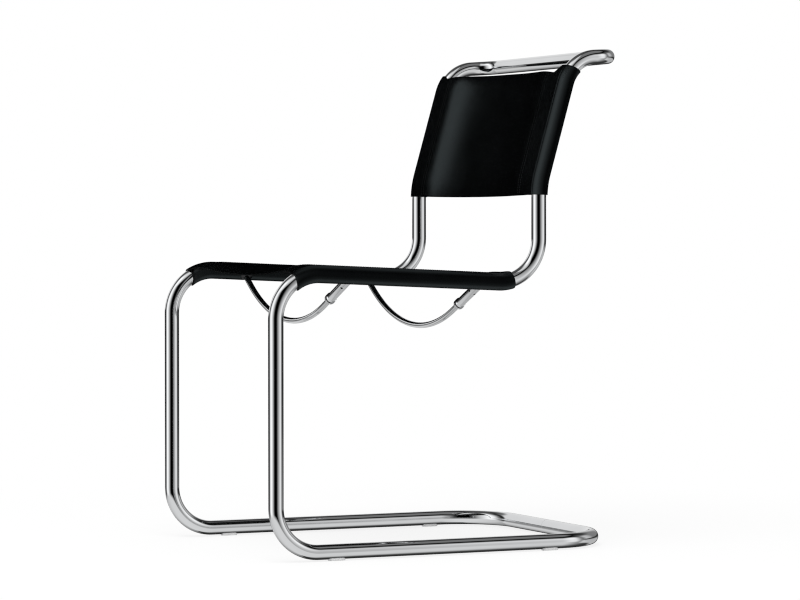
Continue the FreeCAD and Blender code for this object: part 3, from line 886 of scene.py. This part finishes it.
def stitch_tree():
    """Geometry nodes that lay saddle stitches along a line of edges."""
    tree = bpy.data.node_groups.new("saddle_stitches", "GeometryNodeTree")
    for name, kind in (
        ("Line", "Geometry"), ("Pitch", "Float"), ("Stitch Length", "Float"),
        ("Thread Radius", "Float"), ("Slant", "Float"), ("Thread", "Material"),
    ):
        tree.interface.new_socket(name, in_out="INPUT", socket_type="NodeSocket" + kind)
    tree.interface.new_socket("Stitches", in_out="OUTPUT", socket_type="NodeSocketGeometry")
    sewing = Nodes(tree)
    given = sewing.node("NodeGroupInput").outputs
    curve = sewing.value("GeometryNodeMeshToCurve", {"Mesh": given["Line"]})
    spaced = sewing.value(
        "GeometryNodeResampleCurve", {"Curve": curve, "Length": given["Pitch"]}, mode="LENGTH"
    )
    up = sewing.value("GeometryNodeInputNamedAttribute", {"Name": "up"}, data_type="FLOAT_VECTOR")
    standing = sewing.value("FunctionNodeAlignRotationToVector", {"Vector": up}, axis="Z")
    tangent = sewing.value("GeometryNodeInputTangent")
    pointing = sewing.value(
        "FunctionNodeAlignRotationToVector", {"Rotation": standing, "Vector": tangent},
        axis="X", pivot_axis="Z",
    )
    turn = sewing.value("ShaderNodeCombineXYZ", {"Z": given["Slant"]})
    slanting = sewing.value(
        "FunctionNodeRotateRotation", {"Rotation": pointing, "Rotate By": turn},
        rotation_space="LOCAL",
    )
    ball = sewing.value("GeometryNodeMeshUVSphere", {"Segments": 8, "Rings": 6, "Radius": 1.0})
    half = sewing.value(
        "ShaderNodeMath", {0: given["Stitch Length"], 1: 0.5}, operation="MULTIPLY"
    )
    radius = given["Thread Radius"]
    size = sewing.value("ShaderNodeCombineXYZ", {"X": half, "Y": radius, "Z": radius})
    laid = sewing.value("GeometryNodeInstanceOnPoints", {
        "Points": spaced, "Instance": ball, "Rotation": slanting, "Scale": size,
    })
    real = sewing.value("GeometryNodeRealizeInstances", {"Geometry": laid})
    rounded = sewing.value("GeometryNodeSetShadeSmooth", {"Geometry": real})
    waxed = sewing.value(
        "GeometryNodeSetMaterial", {"Geometry": rounded, "Material": given["Thread"]}
    )
    sewing.node("NodeGroupOutput", {"Stitches": waxed})
    return tree


STITCHES = stitch_tree()


def seam_line(mesh, shape, across, sign, height, flap):
    """Edges along a seam, on the sheet's face or on the flap's, with their up ways."""
    wide = [abs(x) for x, _, _ in shape.section.points]
    columns = [
        n for n, (x, _, turn) in enumerate(shape.section.points)
        if x * sign > 0 and (turn > 1.0 if flap else turn == 0.0)
    ]
    near, next_near = sorted(columns, key=lambda n: abs(wide[n] - across))[:2]
    share = (across - wide[near]) / (wide[next_near] - wide[near])

    def seam_spot(part, level):
        """The seam's point at that part of the sling's length."""
        one, other = (shape.spot(n, part, level)[0] for n in (near, next_near))
        return one.lerp(other, share)

    ups = mesh.verts.layers.float_vector["up"]
    margin = END_MARGIN / shape.flat[1]
    before = None
    for step in range(SEAM_STEPS + 1):
        part = margin + (1 - 2 * margin) * step / SEAM_STEPS
        spot = seam_spot(part, height)
        vertex = mesh.verts.new(spot)
        vertex[ups] = (spot - seam_spot(part, 0.0)).normalized()
        if before:
            mesh.edges.new((before, vertex))
        before = vertex


def make_stitches(place, shape):
    """All stitches of a sling: two seams a side, seen on the sheet and on the flap."""
    mesh = bmesh.new()
    mesh.verts.layers.float_vector.new("up")
    height = LEATHER_THICKNESS / 2 + THREAD_RADIUS * THREAD_BEDDING
    for sign in (1, -1):
        for seam in SEAMS:
            for flap in (False, True):
                seam_line(mesh, shape, HALF_WIDTH - FLAP_REACH + seam, sign, height, flap)
    lines = new_object(place + "_lines", mesh)
    sewn = lines.modifiers.new("sewn", "NODES")
    sewn.node_group = STITCHES
    sockets = {item.name: item.identifier for item in STITCHES.interface.items_tree}
    for socket, value in (
        ("Pitch", STITCH_PITCH), ("Stitch Length", STITCH_LENGTH), ("Thread Radius", THREAD_RADIUS),
        ("Slant", THREAD_SLANT), ("Thread", waxed_thread),
    ):
        sewn[sockets[socket]] = value
    thread = carved(lines, place + "_stitches")
    mount(thread, "frame", place + "_hide")
    return thread


seat_thread = make_stitches("seat", seat_shape)
back_thread = make_stitches("back", back_shape)


# ---------------------------------------------------------------- floor, lights and camera

# The camera, fitted to the straight runs and bends of the frame
CAMERA_PLACE = (5.0962, -2.3177, 0.5504)
CAMERA_AZIMUTH = 65.366
CAMERA_TILT = -0.044
CAMERA_ROLL = -0.077
CAMERA_LENS = 146.44
CAMERA_SHIFT = (-0.00063, -0.0942)
PIXEL_FILTER = 1.2

WHITE = (1.0, 1.0, 1.0, 1.0)
COOL_WHITE = (0.84, 1.0, 1.04, 1.0)
PALE_GREY = (0.92, 0.92, 0.92, 1.0)
CHAIR_MIDDLE = (0.0, 0.0, 0.45)
AMBIENT = 0.75
LAMP_PLACE = (1.2, -1.4, 3.4)
LAMP_AIM = (0.0, 0.0, 0.4)
LAMP_WIDTH = 2.6
LAMP_POWER = 75.0
FLOOR_REACH = 30.0
FLOOR_CLEARANCE = 0.2 * MM
# How white the camera sees the floor, near the chair and further off
FLOOR_FADE = (0.5, 1.3)
FLOOR_WHITE = (0.8, 1.0)

# A card of light, as rows of (degrees, level): around is the angle round the chair from
# the camera's way, with left negative, and above is the angle above the floor. A card
# that leans moves round by that share of the angle above.
Card = namedtuple("Card", ("around", "above", "lean"), defaults=(0.0,))

# What the metal mirrors
METAL_CARDS = (
    # A tall soft box at the left
    Card(
        [(-180, 0.04), (-108, 0.03), (-98, 0.3), (-86, 0.97), (-75, 1.28), (-66, 1.17),
         (-57, 0.95), (-43, 0.6), (-32, 0.24), (-24, 0.07), (-17, 0.0), (180, 0.0)],
        [(-90, 0.0), (-20, 0.0), (-14, 1.0), (58, 1.0), (75, 0.1), (90, 0.0)],
    ),
    # A lower soft box at the right
    Card(
        [(-180, 0.0), (11, 0.0), (19, 0.05), (30, 0.26), (43, 0.46), (58, 0.76), (71, 0.99),
         (81, 0.93), (93, 0.3), (105, 0.03), (180, 0.04)],
        [(-90, 0.0), (-20, 0.0), (-14, 1.0), (8, 1.0), (16, 1.14), (27, 1.14), (35, 0.5),
         (40, 0.02), (48, 0.0), (90, 0.0)],
    ),
    # The near floor
    Card(
        [(-180, 0.03), (-173, 0.04), (-166, 0.2), (-150, 0.36), (-125, 0.5), (-100, 0.7),
         (-42, 0.8), (16, 0.8), (50, 0.76), (64, 0.74), (76, 0.56), (88, 0.36), (100, 0.24),
         (114, 0.1), (128, 0.04), (180, 0.03)],
        [(-90, 1.0), (-20, 1.0), (-14, 0.0), (90, 0.0)],
    ),
    # The backdrop
    Card(
        [(-180, 0.79), (-126, 0.79), (-118, 0.0), (98, 0.0), (108, 0.6), (118, 0.5), (130, 0.2),
         (160, 0.2), (170, 0.5), (180, 0.79)],
        [(-90, 0.0), (0.5, 0.0), (3.5, 1.0), (27, 1.0), (36, 0.25), (50, 0.0), (90, 0.0)],
    ),
    # The floor in front of the backdrop
    Card(
        [(-180, 0.0), (-170, 0.0), (-158, 0.14), (-145, 0.3), (-126, 0.3), (-120, 0.0),
         (92, 0.0), (101, 0.5), (157, 0.5), (165, 0.0), (180, 0.0)],
        [(-90, 0.0), (-34, 0.0), (-28, 1.0), (-9, 1.0), (-4, 0.0), (90, 0.0)],
    ),
    # The ceiling
    Card(
        [(-180, 0.05), (-60, 0.1), (-20, 0.22), (40, 0.2), (84, 0.19), (124, 0.22), (146, 0.06),
         (180, 0.05)],
        [(-90, 0.0), (50, 0.0), (57, 1.0), (90, 1.0)],
    ),
    # A lamp over the camera
    Card(
        [(-180, 0.0), (-75, 0.0), (-50, 0.32), (-30, 0.62), (-8, 0.58), (6, 0.36), (16, 0.0),
         (180, 0.0)],
        [(-90, 0.0), (40, 0.0), (47, 1.0), (90, 1.0)],
    ),
)
# What the rods and sleeves mirror besides: the floor behind them
ROD_CARDS = (
    Card(
        [(-180, 0.5), (-165, 0.45), (-150, 0.15), (-140, 0.0), (100, 0.0), (125, 0.3),
         (150, 0.5), (180, 0.5)],
        [(-90, 1.0), (-12, 1.0), (-3, 0.0), (90, 0.0)],
    ),
)
# What the leather mirrors
HIDE_CARDS = (
    # A broad soft box at the left
    Card(
        [(-180, 0.0), (-100, 0.0), (-88, 0.5), (-70, 0.88), (-50, 1.0), (-38, 1.0), (-25, 0.82),
         (-12, 0.62), (0, 0.46), (12, 0.32), (25, 0.2), (45, 0.06), (60, 0.0), (180, 0.0)],
        [(-90, 0.0), (-25, 0.0), (-5, 1.0), (35, 1.0), (60, 0.0), (90, 0.0)],
    ),
    # A narrow strip beyond it
    Card(
        [(-180, 0.0), (-115.6, 0.0), (-112.5, 0.84), (-109.8, 0.84), (-107, 0.0), (180, 0.0)],
        [(-90, 0.0), (-12, 0.0), (-4, 1.0), (30, 1.0), (40, 0.0), (90, 0.0)],
        lean=0.5,
    ),
    # The wall behind and at the right
    Card(
        [(-180, 0.1), (-150, 0.0), (60, 0.0), (95, 0.1), (120, 0.2), (180, 0.1)],
        [(-90, 0.0), (26, 0.0), (36, 1.0), (66, 1.0), (80, 0.0), (90, 0.0)],
    ),
    # The ceiling
    Card(
        [(-180, 0.2), (180, 0.2)],
        [(-90, 0.0), (48, 0.0), (58, 0.2), (70, 0.4), (82, 1.0), (90, 1.0)],
    ),
    # The floor at the right
    Card(
        [(-180, 0.0), (40, 0.0), (52, 0.25), (64, 0.3), (79, 0.42), (109, 0.62), (140, 0.45),
         (160, 0.25), (175, 0.05), (180, 0.0)],
        [(-90, 1.0), (-60, 0.9), (-48, 0.6), (-32, 0.45), (-20, 0.3), (-8, 0.05), (0, 0.0),
         (90, 0.0)],
    ),
)


def white_floor():
    """A pale floor, which fades to plain white round the chair for the camera."""
    finish = Finish("floor_white")
    finish.wear(Base_Color=PALE_GREY, Roughness=0.9, Specular_IOR_Level=0.0)
    seen = finish.node("ShaderNodeLightPath").outputs["Is Camera Ray"]
    far = finish.node("ShaderNodeVectorMath", {0: finish.place}, operation="LENGTH")
    away = finish.span(far.outputs["Value"], FLOOR_FADE, FLOOR_WHITE)
    finish.show(finish.value("ShaderNodeMixShader", {
        0: finish.combine("MULTIPLY", away, seen),
        1: finish.shader.outputs[0],
        2: finish.value("ShaderNodeEmission", {"Color": WHITE, "Strength": 1.0}),
    }))
    mesh = bmesh.new()
    bmesh.ops.create_grid(
        mesh, x_segments=1, y_segments=1, size=FLOOR_REACH,
        matrix=Matrix.Translation((0.0, 0.0, -FLOOR_CLEARANCE)),
    )
    floor = new_object("floor", mesh, [finish.material])
    floor.visible_glossy = False


def card_light(finish, cards):
    """The cards' level in each direction from the chair's middle."""
    turned = finish.value("ShaderNodeMapping", {
        "Vector": finish.place, "Location": CHAIR_MIDDLE,
        "Rotation": (0.0, 0.0, math.radians(CAMERA_AZIMUTH - 90)),
    }, vector_type="TEXTURE")
    way = finish.value("ShaderNodeVectorMath", {0: turned}, operation="NORMALIZE")
    parts = finish.node("ShaderNodeSeparateXYZ", {0: way}).outputs
    azimuth = finish.combine("ARCTAN2", parts["Y"], parts["X"])
    rise = finish.combine("ARCSINE", parts["Z"])
    above = finish.span(rise, (-math.pi / 2, math.pi / 2))
    total = 0.0
    for card in cards:
        leaned = finish.combine("ADD", azimuth, finish.combine("MULTIPLY", rise, card.lean))
        around = finish.span(leaned, (-math.pi, math.pi))
        light = finish.combine(
            "MULTIPLY",
            finish.ramp(around, [(0.5 + angle / 360, level) for angle, level in card.around]),
            finish.ramp(above, [(0.5 + angle / 180, level) for angle, level in card.above]),
        )
        total = finish.combine("ADD", total, light)
    return total


def studio_shell(name, radius, cards, tint, receivers):
    """A far shell of light cards that only its receivers mirror and nothing else sees."""
    finish = Finish(name)
    finish.tree.nodes.remove(finish.shader)
    glow = {"Color": tint, "Strength": card_light(finish, cards)}
    finish.show(finish.value("ShaderNodeAddShader", {
        0: finish.value("ShaderNodeEmission", glow), 1: finish.value("ShaderNodeBsdfTransparent"),
    }))
    finish.material.cycles.emission_sampling = "NONE"
    mesh = bmesh.new()
    bmesh.ops.create_icosphere(
        mesh, subdivisions=4, radius=radius, matrix=Matrix.Translation(CHAIR_MIDDLE)
    )
    shell = new_object(name, mesh, [finish.material])
    for ray in ("camera", "diffuse", "transmission", "shadow", "volume_scatter"):
        setattr(shell, "visible_" + ray, False)
    lit = bpy.data.collections.new(name + "_receivers")
    for receiver in receivers:
        lit.objects.link(receiver)
    shell.light_linking.receiver_collection = lit


def plain_world():
    """Even daylight on everything; white behind the chair and dark in its mirrors."""
    world = bpy.data.worlds.new("studio")
    bpy.context.scene.world = world
    world.use_nodes = True
    sky = Nodes(world.node_tree)
    sky.tree.nodes.clear()
    rays = sky.node("ShaderNodeLightPath").outputs
    daylight, dark, white = (
        sky.value("ShaderNodeBackground", {"Color": WHITE, "Strength": strength})
        for strength in (AMBIENT, 0.0, 1.0)
    )
    lit = sky.value("ShaderNodeMixShader", {0: rays["Is Glossy Ray"], 1: daylight, 2: dark})
    seen = sky.value("ShaderNodeMixShader", {0: rays["Is Camera Ray"], 1: lit, 2: white})
    sky.node("ShaderNodeOutputWorld", {"Surface": seen})


def soft_lamp():
    """A broad lamp above the chair's front, on the camera's side."""
    data = bpy.data.lights.new("soft_top", "AREA")
    data.shape = "DISK"
    data.size = LAMP_WIDTH
    data.energy = LAMP_POWER
    lamp = linked("soft_top", data)
    lamp.location = LAMP_PLACE
    lamp.rotation_euler = (Vector(LAMP_AIM) - lamp.location).to_track_quat("-Z", "Y").to_euler()
    lamp.visible_glossy = False


def fitted_camera():
    """The camera at the photograph's viewing angle."""
    data = bpy.data.cameras.new("camera")
    data.lens = CAMERA_LENS
    data.shift_x, data.shift_y = CAMERA_SHIFT
    camera = linked("camera", data)
    place = Matrix.Translation(CAMERA_PLACE)
    for axis, degrees in (("Z", CAMERA_AZIMUTH), ("X", 90 + CAMERA_TILT), ("Z", CAMERA_ROLL)):
        place = place @ Matrix.Rotation(math.radians(degrees), 4, axis)
    camera.matrix_world = place
    bpy.context.scene.camera = camera


hides = [seat, back, seat_thread, back_thread]
metals = [piece for piece in bpy.data.objects if piece.type == "MESH" and piece not in hides]
spreaders = [piece for piece in metals if piece.name.endswith(("_rod", "_sleeve"))]
white_floor()
plain_world()
studio_shell("metal_studio", 20.0, METAL_CARDS, WHITE, metals)
studio_shell("rod_studio", 21.0, ROD_CARDS, WHITE, spreaders)
studio_shell("hide_studio", 22.0, HIDE_CARDS, COOL_WHITE, hides)
soft_lamp()
fitted_camera()
bpy.context.scene.view_settings.view_transform = "Standard"
bpy.context.scene.cycles.filter_width = PIXEL_FILTER
